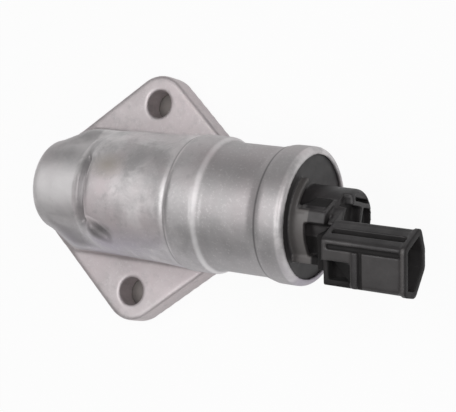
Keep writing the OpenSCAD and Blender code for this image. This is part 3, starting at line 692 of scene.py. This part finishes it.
finishes = {
    "cast_aluminium": cast_aluminium(),
    "black_plastic": black_plastic(),
    "copper": coil_wire(),
}
for name, look in METALS.items():
    finishes[name] = turned_metal(name, *look)
for name, look in POLYMERS.items():
    finishes[name] = soft_polymer(name, *look)

dressed = {"housing": make_casting(), "end_cap": make_cap(), "return_spring": make_spring()}

for part in frame["record"]["subparts"]:
    node = dressed.get(part["node"], nodes[part["node"]])
    finish = finishes[part["material_slot"]]
    if not node.material_slots:
        node.data.materials.append(finish)
    for material_slot in node.material_slots:
        material_slot.material = finish


# Floor, light and camera

# The floor lies just under the flange, so that the two faces don't fight
FLOOR_Z = -0.00025
# The discs of painted shade under the bolt holes, their radius and colour, and the floor's white
HOLE_DISC_R = 0.0060
HOLE_SHADE, FLOOR_WHITE = (0.27, 0.25, 0.24), (0.9, 0.9, 0.9)
PHOTO_WIDTH = 456
FOCAL_PIXELS = 1625.863
SENSOR_WIDTH = 36


def pale_floor():
    """Pale floor that glows for the camera, with a disc of painted shade under each bolt hole."""
    f = Finish("pale_floor")
    from_holes = []
    for side in (-1, 1):
        spot = f.node("VectorMath")
        spot.operation = "DISTANCE"
        spot.inputs[1].default_value = (0, side * BOLT_Y, 0)
        f.link(f.place, spot.inputs[0])
        from_holes.append(spot.outputs["Value"])
    # The discs of painted shade don't glow, and the flange hides them but for what shows through its
    # holes
    open_floor = f.span(f.math("MINIMUM", *from_holes), HOLE_DISC_R, 0.0064)
    f.color(f.blend(open_floor, HOLE_SHADE, FLOOR_WHITE))
    f.rough(0.9)
    f.gloss(0.1)
    paths = f.node("LightPath")
    glow = f.node("Emission")
    glow.inputs["Color"].default_value = (0.99, 0.99, 0.99, 1)
    mix = f.node("MixShader")
    seen = f.math("MAXIMUM", paths.outputs["Is Camera Ray"], paths.outputs["Is Transmission Ray"])
    seen = f.math("MAXIMUM", seen, f.times(paths.outputs["Is Glossy Ray"], 0.4))
    f.link(f.times(f.times(seen, 0.95), open_floor), mix.inputs["Fac"])
    f.link(f.shader.outputs["BSDF"], mix.inputs[1])
    f.link(glow.outputs["Emission"], mix.inputs[2])
    f.link(mix.outputs["Shader"], f.tree.nodes["Material Output"].inputs["Surface"])
    deselect_everything()
    bpy.ops.mesh.primitive_plane_add(size=6, location=(0.04, 0, FLOOR_Z))
    floor = bpy.context.object
    floor.name = "floor"
    bpy.ops.object.transform_apply(location=True, rotation=True, scale=True)
    floor.data.materials.append(f.material)


def soft_lamp(name, place, target, width, height, power):
    deselect_everything()
    bpy.ops.object.light_add(type="AREA", location=place)
    lamp = bpy.context.object
    lamp.name = name
    lamp.data.shape = "RECTANGLE"
    lamp.data.size = width
    lamp.data.size_y = height
    lamp.data.energy = power
    aim = Vector(target) - Vector(place)
    lamp.rotation_euler = aim.to_track_quat("-Z", "Y").to_euler()


def plain_light():
    world = bpy.data.worlds.new("studio")
    world.use_nodes = True
    back = world.node_tree.nodes["Background"]
    back.inputs["Color"].default_value = (1, 1, 1, 1)
    back.inputs["Strength"].default_value = 0.12
    bpy.context.scene.world = world
    soft_lamp("over_lamp", (-0.13, -0.04, 0.66), (0.02, 0, 0.02), 0.66, 0.20, 2.05)
    soft_lamp("front_lamp", (0.40, 0.01, 0.54), (0.05, 0, 0.02), 0.60, 0.26, 1.65)


def photo_camera():
    """The camera of the photo, from its fit to the flange, the holes and the barrel."""
    around, climb, roll = math.radians(30.395), math.radians(-1.744), math.radians(8.399)
    distance = 0.430
    target = Vector((0.037625, -0.000015, AXIS_Z))
    level = math.cos(climb)
    back = Vector((math.sin(around) * level, math.sin(climb), math.cos(around) * level))
    right = Vector((0, 1, 0)).cross(back).normalized()
    up = back.cross(right)
    image_right = right * math.cos(roll) + up * math.sin(roll)
    image_down = right * math.sin(roll) - up * math.cos(roll)
    turn = Matrix((image_right, -image_down, back)).transposed().to_4x4()
    camera_data = bpy.data.cameras.new("photo_camera")
    camera_data.sensor_width = SENSOR_WIDTH
    camera_data.lens = FOCAL_PIXELS * SENSOR_WIDTH / PHOTO_WIDTH
    camera_data.clip_start = 0.01
    camera_data.clip_end = 20
    camera = bpy.data.objects.new("photo_camera", camera_data)
    bpy.context.collection.objects.link(camera)
    camera.matrix_world = Matrix.Translation(target + back * distance) @ turn
    bpy.context.scene.camera = camera


pale_floor()
plain_light()
photo_camera()
bpy.context.scene.view_settings.view_transform = "Standard"
